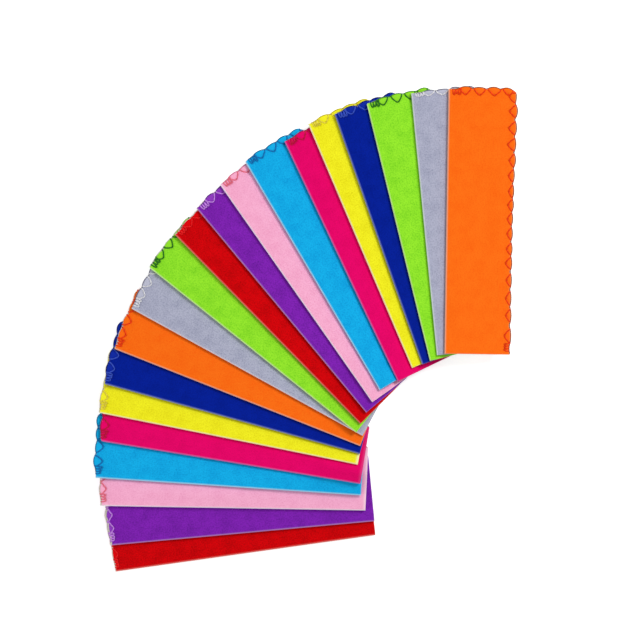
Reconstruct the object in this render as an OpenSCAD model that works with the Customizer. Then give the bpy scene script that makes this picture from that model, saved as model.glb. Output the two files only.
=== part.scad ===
// A fanned set of slim soft pouch cases, laid over each other on a table.
// Each case is one piece of thin padded cloth, folded lengthwise and sewn with an overedge
// seam along the long side away from the fold and across the closed end. The other end is open.
// Units are millimetres. +Z is up, the table is z = 0, and the origin is under the fan's middle.

/* [Case] */
// Length of a case from its open mouth to its closed end
case_len = 160; // [120:5:200]
// Width of a flat case from its fold to its seam
case_w = 40; // [30:1:55]
// Thickness of the padded cloth
cloth = 1.0; // [0.8:0.1:2]
// Gap between the two walls of a flat case
slit = 0.2; // [0.1:0.05:0.5]

/* [Seam] */
// Diameter of the sewing thread
thread_d = 0.3; // [0.2:0.05:0.4]
// Depth of the stitches in from the edge
stitch_depth = 4.8; // [3:0.2:6]
// Distance from one stitch to the next along the long side
stitch_pitch = 9.3; // [6:0.1:14]

/* [Fan] */
// Height left between a case and the ones that it lies on
lie_gap = 0.3; // [0.2:0.05:0.6]
// Direction in which the lowest case points, in degrees from +X
first_angle = 188; // [150:1:200]

/* [Hidden] */
// Each case's place on the one under it: turn clockwise in degrees, step of the
// fold at the mouth, and slide towards the closed end. The lowest case comes first.
fan = [
    [0, 0, 0], [2.75, 8.5, 1], [6.25, 6.5, 5], [2.75, 9, 4], [5.5, 7, 0],
    [2, 11, 4], [4, 6.5, 1], [6.25, 4.5, 1], [7.25, 6, 1.5], [9.75, -1, 5],
    [7, 5.5, 2], [4.75, 7, 3], [4.75, 6.5, 3], [4.5, 7.5, 4], [5.25, 12, 0],
    [2.25, 11, 4], [3.75, 6.5, 0], [5.5, 5, 1], [8.25, 4.5, 3], [6.5, 4.5, 1]
];
colour_order = ["red", "purple", "pink", "cyan", "magenta", "yellow", "navy", "orange", "grey",
    "green", "red", "purple", "pink", "cyan", "magenta", "yellow", "navy", "green", "grey", "orange"];
colour_values = [
    ["red", [0.79, 0.01, 0.03]], ["purple", [0.49, 0.15, 0.69]], ["pink", [0.95, 0.67, 0.79]],
    ["cyan", [0.07, 0.67, 0.88]], ["magenta", [0.89, 0.02, 0.40]], ["yellow", [0.95, 0.93, 0.14]],
    ["navy", [0.02, 0.13, 0.61]], ["orange", [0.99, 0.45, 0.09]], ["grey", [0.67, 0.67, 0.74]],
    ["green", [0.56, 0.89, 0.18]]
];
thread_shade = 0.75;

// How many lower cases can lie under one place
layers_under = 9;
// Evenly spaced places across a case where the height under it is felt
feelers = 12;
// How far past its ends, its fold and its seam a lower case still holds up the one above
end_reach = 8;
fold_reach = 3;
seam_reach = 0.5;
// Steepest lean of the uppermost case across its width: nothing presses its seam down
top_lean = 0.18;

flat_t = 2 * cloth + slit;
// The seam presses the walls and holds them in from the edge by the room its threads need
thread_room = thread_d + 0.1;
thread_off = 0.05;
press_flat = stitch_depth + 0.7;
press_ramp = 2;
pressed_slit = slit / 2;
fold_r = flat_t / 2;
slit_end = case_w - 1.1 * cloth;

// Places along and across a case where its height is worked out, closer together near the
// mouth, where the fan is steepest
spans_along = 7;
crowding = 1.5;
spans_across = 4;
press_end = press_flat + press_ramp;
along = concat(
    [for (i = [0:spans_along]) (case_len - press_end) * pow(i / spans_along, crowding)],
    [case_len - press_flat, case_len]);
across = concat([0], [for (i = [0:spans_across]) lerp(press_end, case_w, i / spans_across)]);

function two_digits(k) = k < 10 ? str("0", k) : str(k);
function node_name(kind, k) = str(kind, "_", two_digits(k + 1), "_", colour_order[k]);
kinds = ["case", "needle_thread", "looper_thread"];
cases = [0:len(fan) - 1];

function case_colour(k) =
    [for (pair = colour_values) if (pair[0] == colour_order[k]) pair[1]][0];

// ---- Small helpers ----
function lerp(a, b, f) = a + (b - a) * f;
function clamp(x, low, high) = max(low, min(high, x));
function cell(x, xs, i = 0) = i >= len(xs) - 2 || x < xs[i + 1] ? i : cell(x, xs, i + 1);
function share(x, xs, i) = clamp((x - xs[i]) / (xs[i + 1] - xs[i]), 0, 1);
function between(x, xs, ys) = let(i = cell(x, xs)) lerp(ys[i], ys[i + 1], share(x, xs, i));
function direction(angle) = [cos(angle), sin(angle)];
function sum(list, i = 0) = i >= len(list) ? 0 : list[i] + sum(list, i + 1);

// ---- Where each case lies in plan ----
// A place is [fold corner at the mouth, direction of the length, direction from seam to fold].
function angle_of(k) = first_angle - sum([for (i = [0:k]) fan[i][0]]);
function place(k) =
    let(a = direction(angle_of(k)), c = direction(angle_of(k) + 90))
    k == 0 ? [[0, 0], a, c] : [place(k - 1)[0] + fan[k][2] * a - fan[k][1] * c, a, c];

// ---- How each case rests on the ones under it ----
// A case leans on the stack at its fold and on the table at its seam. A laid case is
// [place, share of its width seen in plan at each station, height under it at each station].
function foreshortening(laid, u) = between(u, along, laid[1]);
function height_under(laid, u, v) =
    let(i = cell(u, along))
    lerp(between(v, across, laid[2][i]), between(v, across, laid[2][i + 1]), share(u, along, i));
function height_over(laid, u, v) = height_under(laid, u, v) + flat_t / foreshortening(laid, u);

function top_at(laid, p) =
    let(d = p - laid[0][0], u = d * laid[0][1], q = -(d * laid[0][2]),
        inside_u = clamp(u, 0, case_len), f = foreshortening(laid, inside_u))
    u < -end_reach || u > case_len + end_reach || q < -fold_reach || q > f * case_w + seam_reach
        ? -lie_gap : height_over(laid, inside_u, case_w - q / f);

function clear_height(p, lower) = max(concat([0], [for (l = lower) top_at(l, p) + lie_gap]));

// Distance from the seam at which a section passes over the seam edge of a lower case
function seam_crossing(start, across_dir, lower) =
    let(d = start - lower[0][0], u = clamp(d * lower[0][1], 0, case_len))
    (-(d * lower[0][2]) - foreshortening(lower, u) * case_w) / (across_dir * lower[0][2]);

// The lowest line without hollows over a row of [distance, height] points
function taut(x, points) = max([
    for (a = points) if (a[0] <= x) for (b = points) if (b[0] >= x)
        b[0] > a[0] ? lerp(a[1], b[1], (x - a[0]) / (b[0] - a[0])) : max(a[1], b[1])]);

// Height of the end of a line that leaves its inner point and clears every point on the way
function end_height(end, inner, points) = max(concat([end[1]], [for (p = points)
    let(way = (p[0] - inner[0]) / (end[0] - inner[0]))
    if (way > 0.1 && way < 1) lerp(inner[1], p[1], 1 / way)]));

// Heights under one station of a case whose width is foreshortened by f
function station_heights(where, u, f, lower) =
    let(width = f * case_w,
        start = where[0] + where[1] * u - where[2] * width,
        crossings = [for (l = lower) let(x = seam_crossing(start, where[2], l)) if (x > 0 && x < width) x],
        places = concat([for (i = [0:feelers - 1]) width * i / feelers], crossings, [width]),
        points = [for (x = places) [x, clear_height(start + where[2] * x, lower)]],
        line = [for (v = across) [v * f, taut(min(v * f, width), points)]],
        last = len(line) - 1,
        inner = [for (j = [1:last - 1])
            line[j] + [0, max(0, line[j][1] - (line[j - 1][1] + line[j + 1][1]) / 2)]])
    concat([end_height(line[0], inner[0], points)], [for (p = inner) p[1]],
        [end_height(line[last], inner[last - 2], points)]);

function foreshorten(heights) = sqrt(1 - sum([for (j = [1:len(across) - 1])
    pow(heights[j] - heights[j - 1], 2) / (across[j] - across[j - 1])]) / case_w);

// Heights across a case that leans no more than the given slope down from its fold
function held_up(heights, lean) = [for (j = [0:len(heights) - 1])
    max(heights[j], heights[len(heights) - 1] - lean * (case_w - across[j]))];

function lay_case(k, lower) =
    let(where = place(k), lean = k == len(fan) - 1 ? top_lean : 1,
        guess = len(lower) == 0 ? [for (u = along) 1] : lower[len(lower) - 1][1],
        first = [for (i = [0:len(along) - 1])
            held_up(station_heights(where, along[i], guess[i], lower), lean)],
        f = [for (heights = first) foreshorten(heights)],
        final = [for (i = [0:len(along) - 1])
            held_up(station_heights(where, along[i], f[i], lower), lean)])
    [where, f, final];

function lay_all(k = 0, laid = []) =
    k >= len(fan) ? laid
    : lay_all(k + 1, concat(laid, [lay_case(k, [for (i = [max(0, k - layers_under):1:k - 1]) laid[i]])]));

laid_cases = lay_all();

// The fan's middle in plan, which is put over the origin
corners = [for (l = laid_cases) for (i = [0:len(along) - 1]) for (q = [0, l[1][i] * case_w])
    l[0][0] + l[0][1] * along[i] - l[0][2] * q];
xs = [for (p = corners) p[0]];
ys = [for (p = corners) p[1]];
middle = [(min(xs) + max(xs)) / 2, (min(ys) + max(ys)) / 2];

// A point of case k: u along it, v in from its seam, z above the table
function in_plan(k, u, v) =
    let(l = laid_cases[k])
    l[0][0] + l[0][1] * u - l[0][2] * (case_w - v) * foreshortening(l, u) - middle;
function spot(k, u, v, z) = let(p = in_plan(k, u, v)) [p[0], p[1], z];

// How far the seam presses each wall in, near the long side and the closed end
function pressed(u, v) =
    let(edge = min(v, case_len - u))
    thread_room * clamp((press_end - edge) / press_ramp, 0, 1);

// Height of the four faces of the walls, from 0 under the case to 3 on top of it
function face(k, u, v, n) =
    let(l = laid_cases[k], k_up = 1 / foreshortening(l, u), in = pressed(u, v),
        gap = in > 0 ? pressed_slit : slit,
        levels = [in, (flat_t - gap) / 2, (flat_t + gap) / 2, flat_t - in])
    height_under(l, u, v) + levels[n] * k_up;

// ---- Folded cloth of one case ----
outer_v = concat([thread_room, press_flat, press_end],
    [for (i = [1:spans_across - 1]) across[i + 1]], [case_w - fold_r]);
inner_v = concat([thread_room, press_end],
    [for (i = [1:spans_across - 1]) across[i + 1]], [slit_end]);
fold_steps = [-45, 0, 45];

function section(k, u) =
    let(l = laid_cases[k], mid = case_w - fold_r, k_up = 1 / foreshortening(l, u),
        r = fold_r - pressed(u, mid), centre = height_under(l, u, mid) + fold_r * k_up)
    concat(
        [for (v = outer_v) spot(k, u, v, face(k, u, v, 0))],
        [for (a = fold_steps) spot(k, u, mid + fold_r * cos(a), centre + r * k_up * sin(a))],
        [for (i = [len(outer_v) - 1:-1:0]) spot(k, u, outer_v[i], face(k, u, outer_v[i], 3))],
        [for (v = inner_v) spot(k, u, v, face(k, u, v, 2))],
        [for (i = [len(inner_v) - 1:-1:0]) spot(k, u, inner_v[i], face(k, u, inner_v[i], 1))]);

cloth_u = [for (i = [0:len(along) - 1]) min(along[i], case_len - thread_room)];

// The flat end of the folded cloth is a strip of triangles between its outer and inner lines.
// Each outer point from the seam to the middle of the fold has a partner on the slit's line.
outer_half = len(outer_v) + 1;
inner_last = len(inner_v) - 1;
partner = concat([0], [for (i = [1:outer_half]) min(max(1, i - 1), inner_last)]);
ring_size = 2 * (len(outer_v) + len(inner_v)) + len(fold_steps);
slit_start = ring_size - 2 * len(inner_v);
outer_line = concat([for (i = [0:outer_half]) i], [for (i = [outer_half:slit_start - 1]) i]);
inner_line = concat([for (i = [0:outer_half]) ring_size - 1 - partner[i]],
    [for (i = [outer_half:-1:0]) slit_start + partner[i]]);
cloth_end = [for (n = [0:len(outer_line) - 2]) each concat(
    outer_line[n] == outer_line[n + 1] ? [] : [[outer_line[n], outer_line[n + 1], inner_line[n]]],
    inner_line[n] == inner_line[n + 1] ? [] : [[outer_line[n + 1], inner_line[n + 1], inner_line[n]]])];

// A closed skin over rings of points. cap lists the triangles that close its last ring, and
// facing_down says of each side whether it looks down. A twisted quad is split so that a side
// that looks down bows up and the others bow down, which keeps it clear of its neighbours.
module skin(rings, cap, facing_down) {
    n = len(rings[0]);
    last = len(rings) - 1;
    sides = [for (i = [0:last - 1]) for (j = [0:n - 1])
        let(a = i * n + j, b = i * n + (j + 1) % n, c = a + n, d = b + n, near = rings[i], far = rings[i + 1],
            bows_up = near[j][2] + far[(j + 1) % n][2] > near[(j + 1) % n][2] + far[j][2])
        each (bows_up == facing_down[j] ? [[a, b, d], [a, d, c]] : [[a, b, c], [b, d, c]])];
    start = [for (t = cap) [t[2], t[1], t[0]]];
    end = [for (t = cap) [for (j = t) j + last * n]];
    polyhedron([for (ring = rings) each ring], concat(sides, start, end));
}

cloth_facing_down = [for (j = [0:ring_size - 1])
    j < outer_half || (j >= slit_start && j < slit_start + inner_last)];

module case_cloth(k) {
    color(case_colour(k)) skin([for (u = cloth_u) section(k, u)], cloth_end, cloth_facing_down);
}

// ---- Sewing threads ----
// A thread of three flat sides laid along points of case k, given as [u, v, z of its underside]
module thread(k, route) {
    r = thread_d / 2;
    points = [for (p = route) spot(k, p[0], p[1], p[2])];
    last = len(points) - 1;
    rings = [for (i = [0:last])
        let(before = points[max(i - 1, 0)], after = points[min(i + 1, last)],
            one = unit(points[i] - before), two = unit(after - points[i]),
            way = unit(i == 0 ? two : i == last ? one : one + two),
            side = [way[1], -way[0], 0],
            reach = r / max(0.5, i == 0 || i == last ? 1 : way * one))
        [points[i] - side * reach, points[i] + side * reach, points[i] + [0, 0, thread_d]]];
    skin(rings, [[0, 1, 2]], [true, false, false]);
}
function unit(p) = let(flat = [p[0], p[1], 0]) norm(flat) == 0 ? flat : flat / norm(flat);

// The needle thread crosses the top wall in a row of points, along the side and across the end
stitches_side = floor((case_len - stitch_depth) / stitch_pitch);
stitches_end = floor((case_w - stitch_depth - fold_r) / stitch_pitch);
edge_v = thread_room + thread_d;
function on_top(k, u, v) = [u, v, face(k, u, v, 3) + thread_off];
function needle_route(k) =
    concat(
        [on_top(k, thread_d, edge_v)],
        [for (i = [0:stitches_side - 1]) each
            [on_top(k, (i + 0.5) * stitch_pitch, stitch_depth), on_top(k, (i + 1) * stitch_pitch, edge_v)]],
        [on_top(k, case_len - edge_v, stitch_depth)],
        [for (i = [0:stitches_end - 1]) each
            let(v = stitch_depth + i * stitch_pitch)
            [on_top(k, case_len - stitch_depth, v + stitch_pitch / 2),
             on_top(k, case_len - edge_v, v + stitch_pitch)]]);

// The looper thread runs round the cut edge, from the mouth to the fold at the closed end
edge_off = thread_d / 2 + thread_off / 2;
function at_edge(k, u, v) =
    [u, v, (face(k, u, v, 1) + face(k, u, v, 2) - thread_d) / 2];
function looper_route(k) =
    concat(
        [for (i = [0:len(along) - 2]) at_edge(k, along[i] + (i == 0 ? thread_d : 0), edge_off)],
        [at_edge(k, case_len - edge_off, edge_off)],
        [for (j = [1:len(across) - 2]) at_edge(k, case_len - edge_off, across[j])],
        [at_edge(k, case_len - edge_off, case_w - fold_r)]);

module needle_thread(k) {
    color(case_colour(k) * thread_shade) thread(k, needle_route(k));
}

module looper_thread(k) {
    color(case_colour(k) * thread_shade) thread(k, looper_route(k));
}

for (k = cases) {
    case_cloth(k);
    needle_thread(k);
    looper_thread(k);
}
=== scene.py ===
import math
import bpy
import numpy as np
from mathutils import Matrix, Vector
from mathutils.bvhtree import BVHTree


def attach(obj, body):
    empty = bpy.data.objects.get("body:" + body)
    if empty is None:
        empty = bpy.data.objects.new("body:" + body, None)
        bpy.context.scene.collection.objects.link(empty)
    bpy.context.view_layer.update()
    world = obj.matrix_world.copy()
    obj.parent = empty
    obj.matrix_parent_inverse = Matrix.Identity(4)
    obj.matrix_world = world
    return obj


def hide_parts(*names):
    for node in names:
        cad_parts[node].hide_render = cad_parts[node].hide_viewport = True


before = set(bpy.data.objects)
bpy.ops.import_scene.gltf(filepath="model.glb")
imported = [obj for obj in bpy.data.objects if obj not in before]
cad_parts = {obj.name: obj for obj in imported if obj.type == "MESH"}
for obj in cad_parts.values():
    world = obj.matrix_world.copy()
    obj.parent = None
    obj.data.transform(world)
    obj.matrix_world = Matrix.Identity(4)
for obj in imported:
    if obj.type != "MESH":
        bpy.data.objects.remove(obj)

bpy.context.view_layer.update()
metre = 0.001    # shapes below are worked out in millimetres

# Dyes, as sRGB 0 to 255: cloth, cloth in the shade, pale line where it is cut and painted highlight
# where it is folded, needle thread, looper thread
dyes = {
    "red": ((230, 0, 8), (146, 0, 2), (246, 136, 126), (248, 18, 22), (150, 6, 10)),
    "purple": ((140, 38, 192), (84, 20, 130), (200, 150, 208), (206, 138, 238), (84, 24, 128)),
    "pink": ((254, 185, 216), (234, 144, 184), (255, 250, 255), (246, 120, 142), (226, 130, 160)),
    "cyan": ((22, 187, 242), (2, 134, 204), (190, 240, 255), (4, 118, 190), (24, 120, 160)),
    "magenta": ((240, 2, 110), (206, 0, 88), (214, 120, 192), (206, 4, 66), (170, 8, 84)),
    "yellow": ((253, 250, 38), (218, 206, 10), (255, 255, 220), (240, 222, 70), (206, 190, 40)),
    "navy": ((2, 34, 160), (0, 20, 118), (132, 146, 206), (54, 84, 200), (4, 16, 92)),
    "orange": ((253, 118, 22), (246, 88, 6), (255, 196, 164), (248, 62, 0), (140, 72, 10)),
    "grey": ((186, 188, 208), (128, 132, 158), (236, 238, 244), (232, 232, 238), (112, 112, 132)),
    "green": ((162, 243, 50), (96, 192, 24), (226, 255, 176), (40, 120, 24), (72, 140, 30)),
}


def linear(dye):
    parts = [c / 255 for c in dye]    # the sRGB curve
    return tuple(c / 12.92 if c <= 0.04045 else ((c + 0.055) / 1.055) ** 2.4 for c in parts) + (1.0,)


# Camera, lights and floor, in metres and watts
studio = {"aim": (0.0094, 0.0049), "height": 2.6, "field": 0.3857, "sensor": 36.0, "farClip": 20,
          "sky": 0.47, "floorSize": 2.4, "floorDrop": 0.0001, "floorGlow": 0.58, "floorPale": 0.86}
lamps = {"keyLamp": {"place": (1.3, 1.05, 1.55), "size": 0.9, "power": 31.0},
         "fillLamp": {"place": (-1.5, -0.9, 0.85), "size": 1.2, "power": 11.0}}


def makeCamera():
    data = bpy.data.cameras.new("camera")
    data.sensor_width = studio["sensor"]
    data.lens = studio["sensor"] * studio["height"] / studio["field"]
    data.clip_end = studio["farClip"]
    camera = bpy.data.objects.new("camera", data)
    camera.location = (*studio["aim"], studio["height"])
    bpy.context.scene.collection.objects.link(camera)
    bpy.context.scene.camera = camera


def makeLamp(name, place, size, power):
    data = bpy.data.lights.new(name, "AREA")
    data.shape = "DISK"
    data.size = size
    data.energy = power
    lamp = bpy.data.objects.new(name, data)
    lamp.location = place
    lamp.rotation_mode = "QUATERNION"
    lamp.rotation_quaternion = (-Vector(place)).to_track_quat("-Z", "Y")
    bpy.context.scene.collection.objects.link(lamp)


# 1 for what the camera sees, straight or in a reflection, and 0 for light on the object
def seenRays(tree):
    path = tree.nodes.new("ShaderNodeLightPath")
    seen = path.outputs["Is Camera Ray"]
    for kind in ("Is Glossy Ray", "Is Transmission Ray"):
        either = tree.nodes.new("ShaderNodeMath")
        either.operation = "MAXIMUM"
        tree.links.new(seen, either.inputs[0])
        tree.links.new(path.outputs[kind], either.inputs[1])
        seen = either.outputs[0]
    return seen


def makeSky():
    world = bpy.data.worlds.new("sky")
    world.use_nodes = True
    tree = world.node_tree
    back = tree.nodes["Background"]
    back.inputs["Color"].default_value = (1, 1, 1, 1)
    strength = tree.nodes.new("ShaderNodeMapRange")
    strength.inputs["To Min"].default_value = studio["sky"]
    strength.inputs["To Max"].default_value = 1.0
    tree.links.new(seenRays(tree), strength.inputs["Value"])
    tree.links.new(strength.outputs["Result"], back.inputs["Strength"])
    bpy.context.scene.world = world


def makeFloor():
    half = studio["floorSize"] / 2
    mesh = bpy.data.meshes.new("floor")
    corners = [(-half, -half, 0), (half, -half, 0), (half, half, 0), (-half, half, 0)]
    mesh.from_pydata(corners, [], [(0, 1, 2, 3)])
    floor = bpy.data.objects.new("floor", mesh)
    floor.location.z = -studio["floorDrop"]
    bpy.context.scene.collection.objects.link(floor)
    material = bpy.data.materials.new("floorPaper")
    material.use_nodes = True
    tree = material.node_tree
    paper = tree.nodes["Principled BSDF"]
    paper.inputs["Base Color"].default_value = (*[studio["floorPale"]] * 3, 1)
    paper.inputs["Roughness"].default_value = 0.9
    paper.inputs["Specular IOR Level"].default_value = 0.1
    paper.inputs["Emission Color"].default_value = (1, 1, 1, 1)
    glow = tree.nodes.new("ShaderNodeMath")
    glow.operation = "MULTIPLY"
    glow.inputs[1].default_value = studio["floorGlow"]
    tree.links.new(seenRays(tree), glow.inputs[0])
    tree.links.new(glow.outputs[0], paper.inputs["Emission Strength"])
    mesh.materials.append(material)


bpy.context.scene.view_settings.view_transform = "Standard"
makeCamera()
makeSky()
for name, lamp in lamps.items():
    makeLamp(name, **lamp)
makeFloor()
print("studio ready")


# A node group with its sockets, and its two end nodes
def newGroup(name, inputs, outputs):
    group = bpy.data.node_groups.new(name, "ShaderNodeTree")
    for label, kind, value in inputs:
        socket = group.interface.new_socket(label, in_out="INPUT", socket_type="NodeSocket" + kind)
        socket.default_value = value
    for label, kind in outputs:
        group.interface.new_socket(label, in_out="OUTPUT", socket_type="NodeSocket" + kind)
    return group, group.nodes.new("NodeGroupInput"), group.nodes.new("NodeGroupOutput")


def mathNode(tree, operation, first, second=None, clamp=False):
    node = tree.nodes.new("ShaderNodeMath")
    node.operation = operation
    node.use_clamp = clamp
    for socket, value in zip(node.inputs, (first, second)):
        if isinstance(value, (int, float)):
            socket.default_value = value
        elif value is not None:
            tree.links.new(value, socket)
    return node.outputs[0]


def mixColour(tree, amount, first, second):
    node = tree.nodes.new("ShaderNodeMix")
    node.data_type = "RGBA"
    factor, colourA, colourB = (node.inputs[k] for k in (0, 6, 7))
    for socket, value in ((factor, amount), (colourA, first), (colourB, second)):
        if isinstance(value, (int, float, tuple)):
            socket.default_value = value
        else:
            tree.links.new(value, socket)
    return node.outputs[2]


def noiseNode(tree, place, scale, detail=3.0, rough=0.55):
    node = tree.nodes.new("ShaderNodeTexNoise")
    node.inputs["Detail"].default_value = detail
    node.inputs["Roughness"].default_value = rough
    tree.links.new(place, node.inputs["Vector"])
    if isinstance(scale, (int, float)):
        node.inputs["Scale"].default_value = scale
    else:
        tree.links.new(scale, node.inputs["Scale"])
    return node.outputs["Fac"]


# Knitted jersey glued to foam: fine ribs, dye that takes unevenly, pale stretched cloth at the cut edges
# and at the fold with a painted highlight there too, and painted shade where the needle went in
jersey = {"ribs": 560.0, "ribDistortion": 1.2, "ribDetail": 0.6, "ribDepth": 0.22,
          "blotches": 130.0, "blotchFrom": 0.42, "blotchGain": 1.9, "blotchDepth": 0.45,
          "flecks": 1150.0, "fleckFrom": 0.42, "fleckGain": 2.0, "fleckDepth": 0.85, "fleckHeight": 0.8,
          # the pale shares on the next line: pale cut edges and the painted highlight on the fold; the first
          # two on the line after: painted shade at the needle holes
          "tint": 0.2, "tensionLeast": 0.35, "tensionFleck": 0.5, "paleAndHighlightLeast": 0.55, "paleAndHighlightFleck": 0.7,
          "holeShadeBlack": 0.55, "holeShadeDepth": 0.8, "roughLeast": 0.72, "roughBlotch": 0.16,
          "specular": 0.04, "sheen": 0.02, "sheenRoughness": 0.5, "bump": 0.35, "bumpDepth": 0.00012}


def makeKnitGroup():
    group, given, made = newGroup("knitJersey", [
        ("Colour", "Color", (0.5, 0.5, 0.5, 1)), ("Shade", "Color", (0.3, 0.3, 0.3, 1)),
        ("Pale And Highlight", "Color", (0.8, 0.8, 0.8, 1)), ("Tension Tint", "Color", (0.6, 0.6, 0.6, 1)),
        ("Fold Highlight And Cut Mask", "Float", 0.0), ("Seam Mask", "Float", 0.0), ("Hole Shade Mask", "Float", 0.0),
        ("Rib Scale", "Float", jersey["ribs"]), ("Blotch Scale", "Float", jersey["blotches"]),
        ("Fleck Scale", "Float", jersey["flecks"])],
        [("Colour", "Color"), ("Height", "Float"), ("Roughness", "Float")])
    place = group.nodes.new("ShaderNodeUVMap")
    place.uv_map = "clothPlace"
    uv = place.outputs["UV"]
    ribs = []
    for direction in ("X", "Y"):
        wave = group.nodes.new("ShaderNodeTexWave")
        wave.bands_direction = direction
        wave.inputs["Distortion"].default_value = jersey["ribDistortion"]
        wave.inputs["Detail"].default_value = 1.0
        wave.inputs["Detail Scale"].default_value = jersey["ribDetail"]
        group.links.new(uv, wave.inputs["Vector"])
        group.links.new(given.outputs["Rib Scale"], wave.inputs["Scale"])
        ribs.append(wave.outputs["Fac"])
    knit = mathNode(group, "MULTIPLY", ribs[0], ribs[1])
    blotch = noiseNode(group, uv, given.outputs["Blotch Scale"], 4.0, 0.6)
    fleck = noiseNode(group, uv, given.outputs["Fleck Scale"], 2.0, 0.6)
    blotchShare = mathNode(group, "SUBTRACT", blotch, jersey["blotchFrom"], True)
    blotchShare = mathNode(group, "MULTIPLY", blotchShare, jersey["blotchGain"], True)
    fleckShare = mathNode(group, "SUBTRACT", fleck, jersey["fleckFrom"], True)
    fleckShare = mathNode(group, "MULTIPLY", fleckShare, jersey["fleckGain"], True)
    ribShare = mathNode(group, "MULTIPLY", mathNode(group, "SUBTRACT", 1.0, knit), jersey["ribDepth"])
    dark = mathNode(group, "ADD", mathNode(group, "MULTIPLY", blotchShare, jersey["blotchDepth"]),
                    mathNode(group, "MULTIPLY", fleckShare, jersey["fleckDepth"]))
    dark = mathNode(group, "ADD", dark, ribShare, True)
    colour = mixColour(group, dark, given.outputs["Colour"], given.outputs["Shade"])
    tension = mathNode(group, "MULTIPLY", fleck, jersey["tensionFleck"])
    tension = mathNode(group, "ADD", jersey["tensionLeast"], tension)
    tension = mathNode(group, "MULTIPLY", given.outputs["Seam Mask"], tension, True)
    colour = mixColour(group, tension, colour, given.outputs["Tension Tint"])
    # the pale cut edges, and the painted highlight along the fold, in the pale colour
    paleAndHighlight = mathNode(group, "MULTIPLY", fleck, jersey["paleAndHighlightFleck"])
    paleAndHighlight = mathNode(group, "ADD", jersey["paleAndHighlightLeast"], paleAndHighlight)
    paleAndHighlight = mathNode(group, "MULTIPLY", given.outputs["Fold Highlight And Cut Mask"], paleAndHighlight, True)
    colour = mixColour(group, paleAndHighlight, colour, given.outputs["Pale And Highlight"])
    # painted shade in the needle holes: the shade dye mixed towards black
    pinched = mixColour(group, jersey["holeShadeBlack"], given.outputs["Shade"], (0.0, 0.0, 0.0, 1))
    holeShadeShare = mathNode(group, "MULTIPLY", given.outputs["Hole Shade Mask"], jersey["holeShadeDepth"])
    colour = mixColour(group, holeShadeShare, colour, pinched)
    group.links.new(colour, made.inputs["Colour"])
    height = mathNode(group, "ADD", knit, mathNode(group, "MULTIPLY", fleck, jersey["fleckHeight"]))
    group.links.new(height, made.inputs["Height"])
    rough = mathNode(group, "MULTIPLY", blotch, jersey["roughBlotch"])
    rough = mathNode(group, "ADD", jersey["roughLeast"], rough)
    group.links.new(rough, made.inputs["Roughness"])
    return group


# Twisted yarn: slanting plies along the thread, a little fluff between them
twist = {"plies": 260.0, "distortion": 0.8, "fluff": 1800.0, "grooveDepth": 0.6, "fluffDepth": 0.25,
         "grooveDark": 0.82, "roughness": 0.55, "specular": 0.12, "sheen": 0.04,
         "bump": 0.6, "bumpDepth": 0.0001}


def makePlyGroup():
    group, given, made = newGroup("twistedYarn", [
        ("Colour", "Color", (0.5, 0.5, 0.5, 1)), ("Groove", "Color", (0.2, 0.2, 0.2, 1)),
        ("Ply Scale", "Float", twist["plies"])],
        [("Colour", "Color"), ("Height", "Float")])
    place = group.nodes.new("ShaderNodeUVMap")
    place.uv_map = "threadPlace"
    wave = group.nodes.new("ShaderNodeTexWave")
    wave.bands_direction = "DIAGONAL"
    wave.inputs["Distortion"].default_value = twist["distortion"]
    group.links.new(place.outputs["UV"], wave.inputs["Vector"])
    group.links.new(given.outputs["Ply Scale"], wave.inputs["Scale"])
    fluff = noiseNode(group, place.outputs["UV"], twist["fluff"], 2.0, 0.6)
    groove = mathNode(group, "SUBTRACT", 1.0, wave.outputs["Fac"])
    groove = mathNode(group, "MULTIPLY", groove, twist["grooveDepth"])
    groove = mathNode(group, "ADD", groove, mathNode(group, "MULTIPLY", fluff, twist["fluffDepth"]), True)
    colour = mixColour(group, groove, given.outputs["Colour"], given.outputs["Groove"])
    group.links.new(colour, made.inputs["Colour"])
    group.links.new(mathNode(group, "ADD", wave.outputs["Fac"], fluff), made.inputs["Height"])
    return group


knitGroup = makeKnitGroup()
plyGroup = makePlyGroup()


# A material whose colour and bump come from a group
def startMaterial(name, group):
    material = bpy.data.materials.new(name)
    material.use_nodes = True
    tree = material.node_tree
    shader = tree.nodes["Principled BSDF"]
    node = tree.nodes.new("ShaderNodeGroup")
    node.node_tree = group
    bump = tree.nodes.new("ShaderNodeBump")
    tree.links.new(node.outputs["Colour"], shader.inputs["Base Color"])
    tree.links.new(node.outputs["Height"], bump.inputs["Height"])
    tree.links.new(bump.outputs["Normal"], shader.inputs["Normal"])
    return material, tree, shader, node, bump


def makeKnit(colour):
    cloth, shade, paleAndHighlight, thread = (linear(d) for d in dyes[colour][:4])
    tint = jersey["tint"]
    material, tree, shader, node, bump = startMaterial(colour + "Knit", knitGroup)
    node.inputs["Colour"].default_value = cloth
    node.inputs["Shade"].default_value = shade
    # the pale colour serves the cut edges and the painted highlight on the fold
    node.inputs["Pale And Highlight"].default_value = paleAndHighlight
    mixed = tuple((1 - tint) * c + tint * t for c, t in zip(cloth, thread))
    node.inputs["Tension Tint"].default_value = mixed
    # masks: painted highlight on the fold with the pale cut edges, the seam tint, and painted shade at the
    # needle holes
    for name, label in (("foldHighlightAndCutMask", "Fold Highlight And Cut Mask"), ("seamMask", "Seam Mask"), ("holeShadeMask", "Hole Shade Mask")):
        mask = tree.nodes.new("ShaderNodeAttribute")
        mask.attribute_name = name
        tree.links.new(mask.outputs["Fac"], node.inputs[label])
    tree.links.new(node.outputs["Roughness"], shader.inputs["Roughness"])
    shader.inputs["Specular IOR Level"].default_value = jersey["specular"]
    shader.inputs["Sheen Weight"].default_value = jersey["sheen"]
    shader.inputs["Sheen Roughness"].default_value = jersey["sheenRoughness"]
    bump.inputs["Strength"].default_value = jersey["bump"]
    bump.inputs["Distance"].default_value = jersey["bumpDepth"]
    return material


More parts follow.
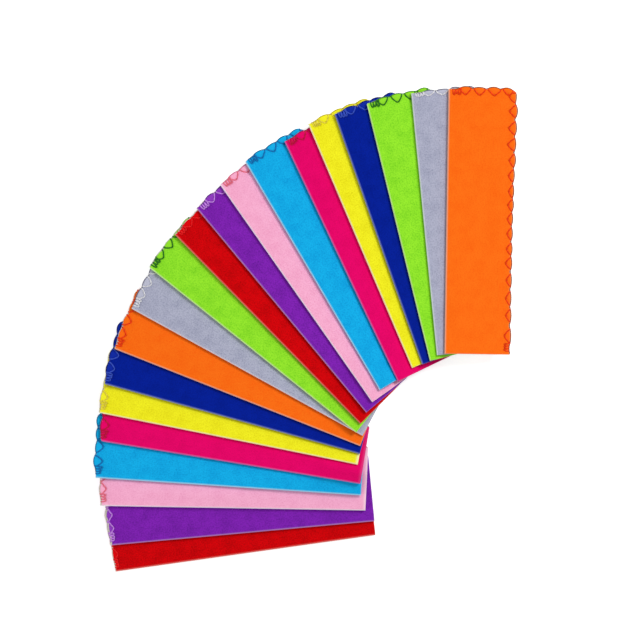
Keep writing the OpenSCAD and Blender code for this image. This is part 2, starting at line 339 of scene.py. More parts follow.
def makeYarn(name, dye):
    material, tree, shader, node, bump = startMaterial(name, plyGroup)
    node.inputs["Colour"].default_value = linear(dye)
    node.inputs["Groove"].default_value = linear(tuple(c * twist["grooveDark"] for c in dye))
    node.inputs["Ply Scale"].default_value = twist["plies"]
    shader.inputs["Roughness"].default_value = twist["roughness"]
    shader.inputs["Specular IOR Level"].default_value = twist["specular"]
    shader.inputs["Sheen Weight"].default_value = twist["sheen"]
    bump.inputs["Strength"].default_value = twist["bump"]
    bump.inputs["Distance"].default_value = twist["bumpDepth"]
    return material


# Cut foam rubber, with pores and a little dust
foamLook = {"dye": (236, 228, 212), "dark": 0.74, "pores": 2600.0, "dust": 420.0,
            "roughness": 0.9, "specular": 0.15, "bump": 0.5, "bumpDepth": 0.0001}


def makeFoam():
    material = bpy.data.materials.new("foam")
    material.use_nodes = True
    tree = material.node_tree
    shader = tree.nodes["Principled BSDF"]
    place = tree.nodes.new("ShaderNodeTexCoord")
    pores = tree.nodes.new("ShaderNodeTexVoronoi")
    pores.inputs["Scale"].default_value = foamLook["pores"]
    tree.links.new(place.outputs["Object"], pores.inputs["Vector"])
    dust = noiseNode(tree, place.outputs["Object"], foamLook["dust"])
    clean = linear(foamLook["dye"])
    dusty = tuple(c * foamLook["dark"] for c in clean[:3]) + (1.0,)
    colour = mixColour(tree, dust, clean, dusty)
    tree.links.new(colour, shader.inputs["Base Color"])
    bump = tree.nodes.new("ShaderNodeBump")
    bump.inputs["Strength"].default_value = foamLook["bump"]
    bump.inputs["Distance"].default_value = foamLook["bumpDepth"]
    tree.links.new(pores.outputs["Distance"], bump.inputs["Height"])
    tree.links.new(bump.outputs["Normal"], shader.inputs["Normal"])
    shader.inputs["Roughness"].default_value = foamLook["roughness"]
    shader.inputs["Specular IOR Level"].default_value = foamLook["specular"]
    return material


foam = makeFoam()
knits = {c: makeKnit(c) for c in dyes}
needleYarns = {c: makeYarn(c + "NeedleYarn", d[3]) for c, d in dyes.items()}
looperYarns = {c: makeYarn(c + "LooperYarn", d[4]) for c, d in dyes.items()}
print("materials ready:", len(bpy.data.materials))

# How a case lies, read from its solid in the frame, in millimetres
lie = {"step": 0.8, "smoothAlong": 2.6, "smoothAcross": 1.6, "edge": 0.6, "endRoom": 1.0,
       "lineWidth": 0.03, "lineAway": 15.0, "shortest": 3, "stationGap": 0.05, "stationWidth": 0.04,
       "shareBlur": 5, "leastShare": 0.7, "rayFrom": 500}


def meshArrays(node):
    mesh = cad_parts[node].data
    points = np.zeros(len(mesh.vertices) * 3)
    mesh.vertices.foreach_get("co", points)
    return points.reshape(-1, 3) / metre, [tuple(p.vertices) for p in mesh.polygons]


# The outline round a set of flat points, with no dents
def hull(points):
    points = sorted({(round(x, 3), round(y, 3)) for x, y in points})

    def half(row):
        out = []
        for p in row:
            while len(out) > 1 and ((out[-1][0] - out[-2][0]) * (p[1] - out[-2][1])
                                    - (out[-1][1] - out[-2][1]) * (p[0] - out[-2][0])) <= 0:
                out.pop()
            out.append(p)
        return out[:-1]
    return np.array(half(points) + half(points[::-1]))


# The fold is the longest straight side of the outline that is away from the edge thread
def findFold(points, edgePoints):
    outline = hull(points[:, :2])
    middle = edgePoints[:, :2].mean(0)
    best = (0, None, None)
    for a, b in zip(outline, np.roll(outline, -1, 0)):
        length = np.linalg.norm(b - a)
        if length < lie["shortest"]:
            continue
        way = (b - a) / length
        across = np.array([-way[1], way[0]])
        near = np.abs((points[:, :2] - a) @ across) < lie["lineWidth"]
        extent = np.ptp(points[near, :2] @ way)
        if abs((middle - a) @ across) > lie["lineAway"] and extent > best[0]:
            best = (extent, points[near, :2], way)
    extent, line, way = best
    centre = line.mean(0)
    way = np.linalg.svd(line - centre)[2][0]
    across = np.array([-way[1], way[0]])
    nearest = edgePoints[np.argmin(np.abs((edgePoints[:, :2] - centre) @ across)), :2]
    ends = (line - centre) @ way
    if (nearest - centre) @ way < (ends.min() + ends.max()) / 2:
        way, ends = -way, -ends
    inward = np.array([-way[1], way[0]])
    if (middle - centre) @ inward > 0:
        inward = -inward
    return centre + way * ends.min(), way, inward


# Smooths along one axis, carrying the slope on past both ends
def blur(field, cells, axis):
    reach = int(math.ceil(cells * 3))
    x = np.arange(-reach, reach + 1)
    weights = np.exp(-x ** 2 / (2 * cells ** 2))
    weights /= weights.sum()
    field = np.moveaxis(field, axis, 0)
    first, last = field[:1], field[-1:]
    padded = np.concatenate([2 * first - field[reach:0:-1], field, 2 * last - field[-2:-reach - 2:-1]])
    out = sum(w * padded[i:i + len(field)] for i, w in enumerate(weights))
    return np.moveaxis(out, 0, axis)


# The middle surface of a case: where its fold starts, which way it runs, and how high it lies.
# The share is how wide the case looks from above, against its width laid flat
class Lie:
    def __init__(self, caseNode, edgeNode):
        points, faces = meshArrays(caseNode)
        edgePoints, _ = meshArrays(edgeNode)
        self.corner, self.way, self.inward = findFold(points, edgePoints)
        flat = points[:, :2] - self.corner
        along, away = flat @ self.way, -(flat @ self.inward)
        stations = np.unique(np.round(along, 2))
        stations = stations[np.concatenate([[True], np.diff(stations) > lie["stationGap"]])]
        sewnWidth = pouch["width"] - pouch["threadRoom"]
        shares = [away[np.abs(along - s) < lie["stationWidth"]].max() / sewnWidth for s in stations]
        self.along = np.arange(0, pouch["length"] + lie["step"] / 2, lie["step"])
        share = np.interp(self.along, stations, shares)
        self.share = blur(share, lie["shareBlur"] / lie["step"], 0).clip(lie["leastShare"], 1.0)
        self.across = np.arange(0, pouch["width"] + lie["step"] / 2, lie["step"])
        solid = BVHTree.FromPolygons([Vector(p) for p in points], faces)
        field = np.zeros((len(self.along), len(self.across)))
        down, far = Vector((0, 0, -1)), lie["rayFrom"]
        us = self.along.clip(lie["edge"], pouch["length"] - lie["endRoom"])
        vs = self.across.clip(lie["edge"], pouch["width"] - pouch["foldRadius"])
        shareAt = np.interp(us, stations, shares)
        for i, u in enumerate(us):
            for j, v in enumerate(vs):
                x, y = self.corner + self.way * u - self.inward * (pouch["width"] - v) * shareAt[i]
                top = solid.ray_cast(Vector((x, y, far)), down)[0]
                low = solid.ray_cast(Vector((x, y, -far)), -down)[0]
                field[i, j] = (top.z + low.z) / 2 if top and low else np.nan
        if np.isnan(field).any():
            field = np.where(np.isnan(field), np.nanmean(field), field)
        field = blur(field, lie["smoothAlong"] / lie["step"], 0)
        self.middle = blur(field, lie["smoothAcross"] / lie["step"], 1)

    def shareAt(self, u):
        return np.interp(u, self.along, self.share)

    def heightAt(self, u, v):
        x = np.clip(u / lie["step"], 0, len(self.along) - 1.001)
        y = np.clip(v / lie["step"], 0, len(self.across) - 1.001)
        i, j = x.astype(int), y.astype(int)
        a, b = x - i, y - j
        m = self.middle
        return ((m[i, j] * (1 - b) + m[i, j + 1] * b) * (1 - a)
                + (m[i + 1, j] * (1 - b) + m[i + 1, j + 1] * b) * a)

    def place(self, u, v, rise):
        flat = (self.corner + np.outer(u, self.way)
                - np.outer((pouch["width"] - v) * self.shareAt(u), self.inward))
        return np.column_stack([flat, self.heightAt(u, v) + rise / self.shareAt(u)])


# One pouch: folded cloth, in millimetres
pouch = {"length": 160.0, "width": 40.0, "thick": 2.2, "foldRadius": 1.1, "threadRoom": 0.4,
         "slit": 0.2, "slitLevel": 0.3, "press": 0.4, "pressFlat": 5.5, "pressLead": 0.6,
         "pressRamp": 2.4, "lip": 0.55, "lipLow": 0.45, "mouthLip": 0.35, "mouthLipLow": 0.62,
         "seamCorner": 1.1, "cutSlope": 0.25, "bevelReach": 1.5, "slipReach": 3.0,
         "sideReach": 5.0, "endReach": 5.0, "mouthReach": 30, "flareReach": 120, "flareWidth": 25,
         "wave": 0.07, "waveLengths": (22, 60), "waveSizes": (0.4, 1), "waveSlant": 1.5,
         "endWave": 0.35, "endWaveLengths": (12, 30), "dent": 0.75, "swell": 0.4, "seed": 4100}
# Each case's own shape: foam that shows past the face cloth at the closed end, how much shorter it
# is cut, how much longer it is at the mouth by the fold and by the seam, how pale the stretched
# cloth shows there, how much wider its closed end is, and how round the fold's corner is
plain = {"foamSlip": 0.12, "endShift": 0.0, "mouthShift": (0.0, 0.0), "mouthBand": 0.0,
         "flare": 0.0, "foldCorner": 1.2}
special = {1: {"foamSlip": 0.6, "endShift": 0.9, "mouthShift": (-0.4, 0.8)},
           2: {"foamSlip": 1.5, "mouthShift": (0.8, 0.6)},
           3: {"foamSlip": 0.9, "mouthShift": (0.1, 1.2), "mouthBand": 0.45},
           4: {"mouthShift": (0.8, 0.8)},
           5: {"mouthShift": (-0.8, -0.6), "mouthBand": 0.2, "foldCorner": 3.0},
           6: {"foamSlip": 0.6, "mouthShift": (-0.6, -0.6), "mouthBand": 0.6},
           7: {"foldCorner": 2.0},
           8: {"foamSlip": 0.4, "mouthShift": (-0.6, -0.6)},
           9: {"mouthShift": (-0.8, -0.8), "mouthBand": 0.2},
           10: {"foamSlip": 0.5, "foldCorner": 2.2},
           11: {"foamSlip": 0.5},
           14: {"foldCorner": 2.0},
           18: {"foldCorner": 1.8},
           19: {"endShift": 1.4},
           20: {"flare": 1.1}}
# The overedge seam: stitches along the side and across the end, and what they do to the cloth
seam = {"first": 11.2, "last": 155.4, "sideCount": 16, "widerStart": 0.3, "startFade": 2.5,
        "widerEnd": 0.18, "endFade": 1.8, "spanShare": 0.4, "mouthRamp": 2.5,
        "uneven": 0.055, "endFirst": 4.6, "endPitch": 8.4, "endCount": 4, "endUneven": 0.25,
        "depth": 4.2, "deepSpread": 0.2, "halfSpan": 3.7, "halfSpread": 0.15, "endHalf": 0.93,
        "slack": 0.26, "slackTo": 105, "slackRamp": 30, "cornerRoom": 0.9, "cornerDrop": 0.7, "dropRamp": 4.5,
        "cornerFlat": 0.45, "bulge": 1.45, "endBulge": 0.8, "neck": 0.6, "power": 2.2,
        "sideSizes": (0.8, 1.12), "endSizes": (0.75, 1.1), "endPinch": 0.3, "endPinchAt": 3.4,
        "endPinchSize": 2.0, "insideSoft": 0.8,
        # the first size after the dimple's: how wide the painted shade round each needle hole is
        "dimple": 0.45, "dimpleSize": 0.55, "holeShade": 0.42, "groove": 0.14, "grooveSize": 0.45,
        "puff": 0.18, "puffAt": 1.7, "puffSize": 1.4, "reach": 3}
# The close stitches that lock the seam at the mouth and at the fold
tack = {"count": 3, "pitch": 1.7, "fromMouth": 1.9, "fromFold": 2.4, "tip": 0.9, "span": 1.6,
        "shallower": 0.9, "endShallower": 0.3, "uneven": 0.15, "deepSpread": 0.3}


def smooth(x):
    x = np.clip(x, 0, 1)
    return x * x * (3 - 2 * x)


# The side seam is sewn shallower until near the closed end
def sideFullness(u):
    return 1 - seam["slack"] * (1 - smooth((u - seam["slackTo"]) / seam["slackRamp"]))


# Stitches as (tip, first foot, second foot), each (u, v): u from the mouth, v from the seam edge
def makeStitches(draw):
    last, width, depth = pouch["length"], pouch["width"], seam["depth"]
    order = np.arange(seam["sideCount"] - 1)
    steps = 1 + seam["widerStart"] * np.exp(-order / seam["startFade"])
    steps[:-1] *= 1 + seam["widerEnd"] * np.exp(-order[:-1][::-1] / seam["endFade"])
    steps *= 1 + draw.normal(0, seam["uneven"], len(steps))
    reached = np.cumsum(steps) / steps.sum() * (seam["last"] - seam["first"])
    sideTips = seam["first"] + np.concatenate([[0], reached])
    endTips = seam["endFirst"] + seam["endPitch"] * np.arange(seam["endCount"])
    endTips = endTips + draw.normal(0, seam["endUneven"], seam["endCount"])
    stitches, tacks = [], []
    for tip, step in zip(sideTips, np.gradient(sideTips)):
        deep = depth * sideFullness(tip) + draw.normal(0, seam["deepSpread"])
        half = min(seam["halfSpan"], seam["spanShare"] * step) + draw.normal(0, seam["halfSpread"])
        foot = min(tip + half, last - seam["cornerRoom"])
        stitches.append(((tip, deep), (tip - half, 0.0), (foot, 0.0)))
    for tip in endTips:
        deep = last - depth - draw.normal(0, seam["deepSpread"])
        half = seam["halfSpan"] * seam["endHalf"] + draw.normal(0, seam["halfSpread"])
        foot = max(tip - half, seam["cornerRoom"])
        stitches.append(((deep, tip), (last, foot), (last, tip + half)))
    for i in range(tack["count"]):
        at = tack["fromMouth"] + i * tack["pitch"] + draw.normal(0, tack["uneven"])
        deep = depth - tack["shallower"] + draw.normal(0, tack["deepSpread"])
        tacks.append(((at + tack["tip"], deep), (at, 0.0), (at + tack["span"], 0.0)))
        at = width - tack["fromFold"] - i * tack["pitch"] + draw.normal(0, tack["uneven"])
        deep = last - depth + tack["endShallower"] + draw.normal(0, tack["deepSpread"])
        tacks.append(((deep, at - tack["tip"]), (last, at), (last, at - tack["span"])))
    return stitches, tacks, sideTips, endTips


# How far places are from the line between a and b
def segmentDistance(u, v, a, b):
    way = np.array(b) - np.array(a)
    share = np.clip(((u - a[0]) * way[0] + (v - a[1]) * way[1]) / (way @ way), 0, 1)
    return np.hypot(u - a[0] - share * way[0], v - a[1] - share * way[1])


# 1 in the middle of a stitch, 0 at the necks between it and the next ones
def scallop(x, tips):
    necks = np.concatenate([[tips[0] * 2 - (tips[0] + tips[1]) / 2], (tips[1:] + tips[:-1]) / 2,
                            [tips[-1] * 2 - (tips[-2] + tips[-1]) / 2]])
    count = np.clip(np.searchsorted(necks, x) - 1, 0, len(tips) - 1)
    away = np.abs(x - tips[count]) / ((necks[count + 1] - necks[count]) / 2)
    return np.clip(1 - away ** seam["power"], 0, 1), count


# What is special about one pouch, and where each point of it goes
class Shape:
    def __init__(self, number, colour):
        self.lie = Lie(f"case_{number:02d}_{colour}", f"looper_thread_{number:02d}_{colour}")
        draw = np.random.default_rng(pouch["seed"] + number)
        self.stitches, self.tacks, self.sideTips, self.endTips = makeStitches(draw)
        own = {**plain, **special.get(number, {})}
        self.foldCorner, self.flare = own["foldCorner"], own["flare"]
        self.foamSlip, self.endShift = own["foamSlip"], own["endShift"]
        self.mouthShift, self.mouthBand = own["mouthShift"], own["mouthBand"]
        # slow waves: phase, length, slant and size
        self.waves = [(draw.uniform(0, 2 * math.pi), draw.uniform(*pouch["waveLengths"]),
                       draw.uniform(-1, 1), draw.uniform(*pouch["waveSizes"])) for _ in range(6)]
        self.endWaves = [(draw.uniform(0, 2 * math.pi), draw.uniform(*pouch["endWaveLengths"]))
                         for _ in range(3)]
        self.sideSizes = draw.uniform(*seam["sideSizes"], len(self.sideTips))
        self.endSizes = draw.uniform(*seam["endSizes"], len(self.endTips))

    # How far the stitches let the edge stand out or pull it in, positive outward
    def sideOut(self, u):
        inside, count = scallop(u, self.sideTips)
        corner = 1 - seam["cornerFlat"] * (count == len(self.sideTips) - 1)
        out = seam["bulge"] * inside * self.sideSizes[count] * corner * sideFullness(u)
        return smooth(u / seam["mouthRamp"]) * (out - seam["neck"])

    def endOut(self, v):
        inside, count = scallop(v, self.endTips)
        out = seam["bulge"] * seam["endBulge"] * inside * self.endSizes[count]
        slow = sum(np.sin(phase + v * 2 * math.pi / length) for phase, length in self.endWaves) / 3
        away = v - pouch["width"] + seam["endPinchAt"]    # from the close stitches
        pinched = -seam["endPinch"] * np.exp(-(away / seam["endPinchSize"]) ** 2)
        dropped = seam["cornerDrop"] * (1 - smooth(v / seam["dropRamp"]))
        return out - seam["neck"] + slow * pouch["endWave"] + pinched - self.endShift - dropped

    # Moves a place so that the outline is scalloped and its corners are round
    def outline(self, u, v, level):
        length, width = pouch["length"], pouch["width"]
        fromEnd = length - u
        byFold, bySeam = self.mouthShift
        shift = (byFold * v + bySeam * (width - v)) / width
        u = u - shift * (1 - smooth(u / pouch["mouthReach"]))
        flare = self.flare * smooth(1 - fromEnd / pouch["flareReach"])
        v = v - flare * (1 - smooth(v / pouch["flareWidth"]))
        bevel = pouch["cutSlope"] * level * (1 - smooth(v / pouch["bevelReach"])) * 0.5
        v = v - self.sideOut(u) * (1 - smooth(v / pouch["sideReach"])) + bevel
        slip = self.foamSlip * (1 + level) / 2 * (1 - smooth(fromEnd / pouch["slipReach"]))
        u = u + self.endOut(v) * (1 - smooth(fromEnd / pouch["endReach"])) - slip
        for radius, mirrored in ((pouch["seamCorner"], False), (self.foldCorner, True)):
            side = width - v if mirrored else v
            end = length - u
            x, y = (radius - side) / radius, (radius - end) / radius
            inside = (x > 0) & (y > 0)
            xs, ys = np.clip(x, 0, 1.2), np.clip(y, 0, 1.2)
            newX = xs * np.sqrt(np.clip(1 - ys ** 2 / 2, 0.2, 1))
            newY = ys * np.sqrt(np.clip(1 - xs ** 2 / 2, 0.2, 1))
            side = np.where(inside, radius - newX * radius, side)
            end = np.where(inside, radius - newY * radius, end)
            v = width - side if mirrored else side
            u = length - end
        return u, v

    # Half the thickness, less along the seams, where the stitches press it
    def halfThick(self, u, v):
        edge = np.minimum(v, pouch["length"] - u)
        away = edge - pouch["pressFlat"] + pouch["pressLead"]
        pressed = pouch["press"] * (1 - smooth(away / pouch["pressRamp"]))
        return pouch["thick"] / 2 - pressed

    # The cut edges are a little rounded: the share of the thickness that is left there
    def lipShare(self, u, v):
        def lip(x, size, low):
            x = np.clip(x / size, 0, 1)
            return low + (1 - low) * np.sqrt(1 - (1 - x) ** 2)
        return (lip(v, pouch["lip"], pouch["lipLow"])
                * lip(pouch["length"] - u, pouch["lip"], pouch["lipLow"])
                * lip(u, pouch["mouthLip"], pouch["mouthLipLow"]))

    # What the stitches and slow waves add to the surface, and the mask of painted shade round each needle
    # hole
    def relief(self, u, v):
        change, holeShadeShare = np.zeros(len(u)), np.zeros(len(u))
        fromEnd, reach = pouch["length"] - u, seam["depth"] + seam["reach"]
        margin = (v < reach) | (fromEnd < reach)
        mu, mv = u[margin], v[margin]
        part, holeShade = np.zeros(len(mu)), np.zeros(len(mu))
        for tip, first, second in self.stitches + self.tacks:
            away = np.hypot(mu - tip[0], mv - tip[1])
            part -= seam["dimple"] * np.exp(-away ** 2 / (2 * seam["dimpleSize"] ** 2))
            # painted shade round the needle hole
            holeShade = np.maximum(holeShade, np.exp(-away ** 2 / (2 * seam["holeShade"] ** 2)))
            for foot in (first, second):
                away = segmentDistance(mu, mv, tip, foot)
                part -= seam["groove"] * np.exp(-away ** 2 / (2 * seam["grooveSize"] ** 2))
        change[margin], holeShadeShare[margin] = part, holeShade
        for inward, along, tips in ((v, u, self.sideTips), (fromEnd, v, self.endTips)):
            puffed = seam["puff"] * np.exp(-((inward - seam["puffAt"]) / seam["puffSize"]) ** 2)
            change += puffed * scallop(along, tips)[0]
        for phase, length, turn, size in self.waves:
            swing = np.sin(phase + (u + turn * v * pouch["waveSlant"]) * 2 * math.pi / length)
            change += pouch["wave"] * size / 3 * swing
        return np.clip(change, -pouch["dent"], pouch["swell"]), holeShadeShare

    # 1 in the triangles between a stitch's arms and the edge, fading outside them
    def insideStitches(self, u, v):
        mask = np.zeros(len(u))
        depth, soft = seam["depth"], seam["insideSoft"]
        for away, along, tips in ((v / sideFullness(u), u, self.sideTips),
                                  (pouch["length"] - u, v, self.endTips)):
            _, count = scallop(along, tips)
            half = seam["halfSpan"] * np.clip(1 - away / depth, 0, 1)
            inside = 1 - smooth((np.abs(along - tips[count]) - half + soft / 2) / soft)
            mask = np.maximum(mask, inside * (away < depth))
        return mask

    # A point of the cloth. level: 1 on top, -1 underneath, between them inside the wall
    def spot(self, u, v, level, lift=0.0):
        up, side = self.outline(u, v, level)
        relief, _ = self.relief(u, v)
        half = self.halfThick(u, v)
        outer = np.clip((np.abs(level) - pouch["slitLevel"]) / (1 - pouch["slitLevel"]), 0, 1)
        rise = level * half * np.where(outer > 0, self.lipShare(u, v), 1) + np.sign(level) * outer * relief
        return self.lie.place(up, side, rise + lift)


# Once round the cloth, from the seam's edge on top, over the fold, underneath, and back inside
# the slit: each point's place across, and its level
def clothRing():
    fold = pouch["width"] - pouch["foldRadius"]
    fine = [0, 0.12, 0.3, 0.55]
    top = np.concatenate([fine, np.arange(1.0, 6.6, 0.5), np.linspace(7.2, fold, 36)])
    low = np.concatenate([fine, [1.2, 2, 3, 4, 5, 6], np.linspace(7.2, fold, 14)])
    slit = np.array([0.1, 1.5, 3.5, 5.5, 8, 16, 24, 31, 38.7])
    turn = np.radians(np.arange(75, -76, -15))
    gap = pouch["slit"] / pouch["thick"]
    vs = np.concatenate([top, fold + pouch["foldRadius"] * np.cos(turn), low[::-1], slit, slit[::-1]])
    levels = np.concatenate([np.ones(len(top)), np.sin(turn), -np.ones(len(low)),
                             -gap * np.ones(len(slit)), gap * np.ones(len(slit))])
    outerCount = len(top) + len(turn) + len(low)
    return vs, levels, outerCount, len(top), len(turn)


# Places along the cloth, closer at both ends
def clothStations():
    near = [0, 0.1, 0.25, 0.5, 0.9]
    far = pouch["length"] - np.array([0.9, 0.55, 0.3, 0.12, 0])
    return np.concatenate([near, np.arange(1.5, 152.0, 0.78), np.arange(152.2, 158.9, 0.42), far])


# Joins two rows of points, one outside and one inside, with a strip of faces
def zipRows(outer, inner, outerAt, innerAt):
    faces, i, j = [], 0, 0
    while i < len(outer) - 1 or j < len(inner) - 1:
        if j == len(inner) - 1 or (i < len(outer) - 1 and outerAt[i + 1] <= innerAt[j + 1]):
            faces.append((outer[i], outer[i + 1], inner[j]))
            i += 1
        else:
            faces.append((outer[i], inner[j + 1], inner[j]))
            j += 1
    return faces


def addMesh(name, points, faces, materials, slots=None):
    mesh = bpy.data.meshes.new(name)
    mesh.from_pydata((points * metre).tolist(), [], faces)
    for material in materials:
        mesh.materials.append(material)
    if slots is not None:
        mesh.polygons.foreach_set("material_index", slots)
    mesh.polygons.foreach_set("use_smooth", [True] * len(mesh.polygons))
    mesh.update()
    thing = bpy.data.objects.new(name, mesh)
    bpy.context.scene.collection.objects.link(thing)
    return thing


def setUv(mesh, name, values):
    layer = mesh.uv_layers.new(name=name)
    corners = np.zeros(len(mesh.loops), int)
    mesh.loops.foreach_get("vertex_index", corners)
    layer.data.foreach_set("uv", values[corners].astype(np.float32).ravel())


def setMask(mesh, name, values):
    mask = mesh.attributes.new(name, "FLOAT", "POINT")
    mask.data.foreach_set("value", values.astype(np.float32))


# Pale cut edges and the painted highlight round the fold: how strong, and how wide in millimetres or degrees
# round the fold
lines = {"foldHighlightAngle": 28, "foldHighlightSpread": 40, "mouth": 0.4, "mouthWidth": 0.3, "bandWidth": 1.4,
         "edge": 0.5, "edgeWidth": 0.22}


def makeCloth(shape, number, colour):
    vs, levels, outerCount, topCount, turnCount = clothRing()
    us = clothStations()
    n, rows = len(vs), len(us)
    u, v = np.repeat(us, n), np.tile(vs, rows)
    level = np.tile(levels, rows)
    points = shape.spot(u, v, level)

    ring = np.arange(n)
    nextRing = (ring + 1) % n
    faces, slots = [], []
    for i in range(rows - 1):
        a, b = i * n + ring, i * n + nextRing
        faces += np.column_stack([a, a + n, b + n, b]).tolist()
        slots += [1 if j in (outerCount - 1, n - 1) else 0 for j in range(n)]    # foam on the cut side
    # the two cut ends, from the seam's edge on top round the fold to the seam's edge underneath
    outer = list(range(outerCount))
    inner = list(range(n - 1, outerCount - 1, -1))
    middle = topCount + turnCount // 2
    outerAt = np.concatenate([np.linspace(0, 1, middle + 1),
                              np.linspace(1, 2, outerCount - middle)[1:]])
    outerAt[:topCount] = vs[:topCount] / pouch["width"]
    lowCount = outerCount - topCount - turnCount
    outerAt[-lowCount:] = 2 - vs[outerCount - lowCount:outerCount] / pouch["width"]
    innerVs = vs[inner]
    half = len(inner) // 2
    innerAt = np.concatenate([innerVs[:half] / pouch["width"], 2 - innerVs[half:] / pouch["width"]])
    strip = zipRows(outer, inner, outerAt, innerAt)
    last = (rows - 1) * n
    faces += strip
    faces += [tuple(last + p for p in t[::-1]) for t in strip]
    slots += [1] * (2 * len(strip))

    cloth = addMesh(f"cloth_{number:02d}_{colour}", points, faces, [knits[colour], foam], slots)
    gaps = np.hypot(np.diff(vs), np.diff(levels) * pouch["foldRadius"])
    arc = np.concatenate([[0], np.cumsum(gaps)])
    setUv(cloth.data, "clothPlace", np.column_stack([u, np.tile(arc, rows)]) * metre)
    # masks: the painted highlight on the stretched fold with the pale cut edges, inside the stitches, the
    # painted shade at the needle's holes
    # painted highlight: a pale band round the fold's arc, where the cloth is also stretched pale
    past = v - pouch["width"] + pouch["foldRadius"]
    angle = np.degrees(np.arctan2(level, past / pouch["foldRadius"]))
    turned = v > pouch["width"] - pouch["foldRadius"] + 1e-6
    away = (angle - lines["foldHighlightAngle"]) / lines["foldHighlightSpread"]
    foldHighlight = np.where(turned, np.exp(-away ** 2), 0)
    isOuter = np.tile(ring < outerCount, rows)
    mouthLine = lines["mouth"] * np.exp(-(u / lines["mouthWidth"]) ** 2)
    band = shape.mouthBand * np.exp(-(u / lines["bandWidth"]) ** 4)
    mouthLine = np.maximum(mouthLine, band) * isOuter
    edgeLine = np.exp(-(v / lines["edgeWidth"]) ** 2) * isOuter * lines["edge"]
    setMask(cloth.data, "foldHighlightAndCutMask", np.maximum(np.maximum(foldHighlight, mouthLine), edgeLine))
    setMask(cloth.data, "seamMask", shape.insideStitches(u, v) * isOuter)
    setMask(cloth.data, "holeShadeMask", shape.relief(u, v)[1] * isOuter)
    return cloth


# One pouch: its threads, in millimetres
yarn = {"needleRadius": 0.42, "looperRadius": 0.27, "step": 0.45, "sides": 6, "uneven": 0.08,
        "ends": 0.55, "lift": 0.06, "underLift": 0.1, "bow": 0.8, "tipWidth": 0.62,
        "unevenRate": 5.1, "bowSpread": 3, "tipLevel": 0.92, "over": (0.985, 0.06, 10),
        "under": (0.03, 0.92, 7), "sideRoom": (0.6, 0.8), "endRoom": (1.2, 2.4),
        "beyond": 0.32, "looperStep": 0.6, "looperOut": 0.24, "looperTuck": 0.45,
        "looperLevel": 0.15, "looperRise": 0.55, "tuckLevel": 0.95, "foamEdge": 0.3,
        # round the cut edge from below: how far out, as a share of beyond, and the level
        "round": ((-2.5, -1.0), (0.2, -0.95), (1.0, -0.45), (1.15, 0.1), (0.8, 0.7))}


# Even steps along a path, with its corners rounded
def resample(path, step):
    path = np.array(path, float)
    gaps = np.linalg.norm(np.diff(path, axis=0), axis=1)
    at = np.concatenate([[0], np.cumsum(gaps)])
    count = max(3, int(math.ceil(at[-1] / step)) + 1)
    where = np.linspace(0, at[-1], count)
    line = np.column_stack([np.interp(where, at, path[:, k]) for k in range(3)])
    for _ in range(2):
        line[1:-1] = (line[:-2] + 2 * line[1:-1] + line[2:]) / 4
    return line, where


# One closed tube along each path. places: how far along the thread and round it
def tube(paths, radius):
    points, faces, places, base = [], [], [], 0
    sides = yarn["sides"]
    angles = np.arange(sides) * 2 * math.pi / sides
    for path in paths:
        line, where = resample(path, yarn["step"])
        way = np.gradient(line, axis=0)
        way /= np.linalg.norm(way, axis=1)[:, None]
        side = np.cross(way, [0.05, 0.02, 1.0])
        side /= np.linalg.norm(side, axis=1)[:, None]
        up = np.cross(side, way)
        count = len(line)
        wide = radius * (1 + yarn["uneven"] * np.sin(where * yarn["unevenRate"] + base))
        wide[[0, -1]] *= yarn["ends"]
        ring = (line[:, None] + wide[:, None, None] * (np.cos(angles)[None, :, None] * side[:, None]
                                                       + np.sin(angles)[None, :, None] * up[:, None]))
        points.append(ring.reshape(-1, 3))
        turn = np.tile(angles * radius, count)
        places.append(np.column_stack([np.repeat(where, sides), turn]) * metre)
        for i in range(count - 1):
            for j in range(sides):
                a, b = base + i * sides + j, base + i * sides + (j + 1) % sides
                faces.append((a, b, b + sides, a + sides))
        faces.append(tuple(base + j for j in reversed(range(sides))))
        faces.append(tuple(base + (count - 1) * sides + j for j in range(sides)))
        base += count * sides
    return np.concatenate(points), faces, np.concatenate(places)


# A route of (u, v, level) laid on the cloth, lifted off whichever face it is on
def layThread(shape, route, lift):
    u, v, level = (np.array([p[k] for p in route], float) for k in range(3))
    sign = np.where(level >= 0, 1, -1)
    return shape.spot(u, v, level, lift * sign * np.minimum(1, np.abs(level) * 1.5))


# A stitch comes up round the edge, bows over the top to its blunt tip, and goes back round
def stitchHalf(tip, foot):
    atEnd = foot[0] >= pouch["length"]
    spread = foot[1] - tip[1] if atEnd else foot[0] - tip[0]
    side = np.sign(spread)
    bow = yarn["bow"] * side * min(1, abs(spread) / yarn["bowSpread"])
    over = []
    for share in np.linspace(*yarn["over"]):
        aside = bow * math.sin(math.pi * share) + yarn["tipWidth"] * side * (1 - share) ** 4
        u, v = tip[0] + (foot[0] - tip[0]) * share, tip[1] + (foot[1] - tip[1]) * share
        over.append((u, v + aside, 1.0) if atEnd else (u + aside, v, 1.0))
    beyond = (yarn["beyond"], 0.0) if atEnd else (0.0, -yarn["beyond"])
    under = [(foot[0] + beyond[0] * k, foot[1] + beyond[1] * k, level)
             for k, level in yarn["round"]]
    return under + over


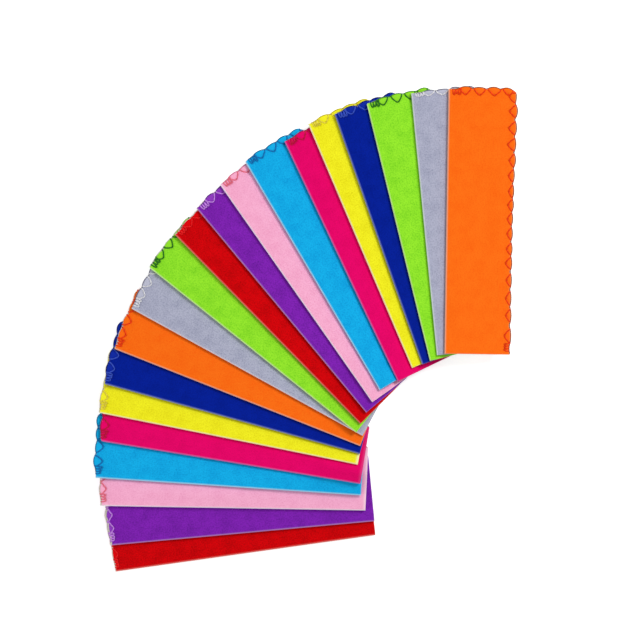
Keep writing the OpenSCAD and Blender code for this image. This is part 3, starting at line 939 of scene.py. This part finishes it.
def makeNeedleThread(shape, number, colour):
    paths = []
    for tip, first, second in shape.stitches + shape.tacks:
        top = (tip[0], tip[1], yarn["tipLevel"])
        route = stitchHalf(tip, first) + [top] + stitchHalf(tip, second)[::-1]
        paths.append(layThread(shape, route, yarn["lift"]))
    points, faces, places = tube(paths, yarn["needleRadius"])
    thread = addMesh(f"needleThread_{number:02d}_{colour}", points, faces, [needleYarns[colour]])
    setUv(thread.data, "threadPlace", places)
    return thread


def makeLooperThread(shape, number, colour):
    start, stop = yarn["sideRoom"]
    side = np.arange(start, pouch["length"] - stop, yarn["looperStep"])
    route = [(u, -yarn["looperOut"], yarn["looperLevel"] + yarn["looperRise"] * inside)
             for u, inside in zip(side, scallop(side, shape.sideTips)[0])]
    start, stop = yarn["endRoom"]
    across = np.arange(start, pouch["width"] - stop, yarn["looperStep"])
    if shape.foamSlip > yarn["foamEdge"]:    # it lies under the foam where that shows
        out, low, rise = -yarn["looperTuck"], -yarn["tuckLevel"], 0.0
    else:
        out, low, rise = yarn["looperOut"], yarn["looperLevel"], yarn["looperRise"]
    route += [(pouch["length"] + out, v, low + rise * inside)
              for v, inside in zip(across, scallop(across, shape.endTips)[0])]
    paths = [layThread(shape, route, yarn["lift"])]
    for tip, first, second in shape.stitches:      # the loops that cross the underside
        for foot in (first, second):
            under = [(foot[0] + (tip[0] - foot[0]) * t, foot[1] + (tip[1] - foot[1]) * t, -1.0)
                     for t in np.linspace(*yarn["under"])]
            paths.append(layThread(shape, under, yarn["underLift"]))
    points, faces, places = tube(paths, yarn["looperRadius"])
    thread = addMesh(f"looperThread_{number:02d}_{colour}", points, faces, [looperYarns[colour]])
    setUv(thread.data, "threadPlace", places)
    return thread


# The fan: each pouch in the order in which they lie
names = sorted(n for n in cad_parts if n.startswith("case_"))
for node in names:
    _, digits, colour = node.split("_")
    number = int(digits)
    shape = Shape(number, colour)
    cloth = makeCloth(shape, number, colour)
    needle = makeNeedleThread(shape, number, colour)
    looper = makeLooperThread(shape, number, colour)
    body = f"pouch_{digits}"
    for piece, kind, slotName in ((cloth, "case", "cloth_"), (needle, "needle_thread", "thread_"),
                                  (looper, "looper_thread", "thread_")):
        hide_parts(f"{kind}_{digits}_{colour}")
        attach(piece, body)
    print("laid", cloth.name, *(len(t.data.polygons) for t in (cloth, needle, looper)))

bpy.context.view_layer.update()
print("fan ready")
